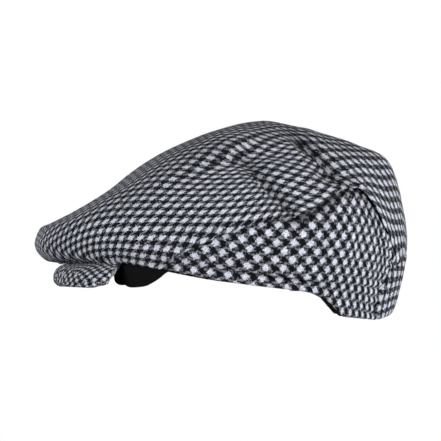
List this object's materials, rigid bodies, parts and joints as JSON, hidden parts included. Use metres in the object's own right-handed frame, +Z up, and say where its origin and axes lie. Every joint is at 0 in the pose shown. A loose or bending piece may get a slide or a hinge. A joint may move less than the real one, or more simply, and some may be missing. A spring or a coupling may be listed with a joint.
{
  "type": "flat cap",
  "caption": "Black and white houndstooth wool flat cap with a full rounded crown that overhangs a short arched peak, lined in black.",
  "frame": {"origin": "middle of the cap's footprint, on the surface that it rests on", "axes": "+Z up, the peak points to -Y, +X towards the wearer's left"},
  "size_m": [0.2014, 0.2723, 0.1375],
  "materials": {
    "wool": "black and white houndstooth wool",
    "band": "black twill",
    "lining": "black satin"
  },
  "bodies": {
    "root": {"top_panel": "wool", "side_panel_left": "wool", "side_panel_right": "wool", "back_panel": "wool", "peak": "wool", "sweatband": "band", "lining": "lining"}
  },
  "joints": []
}
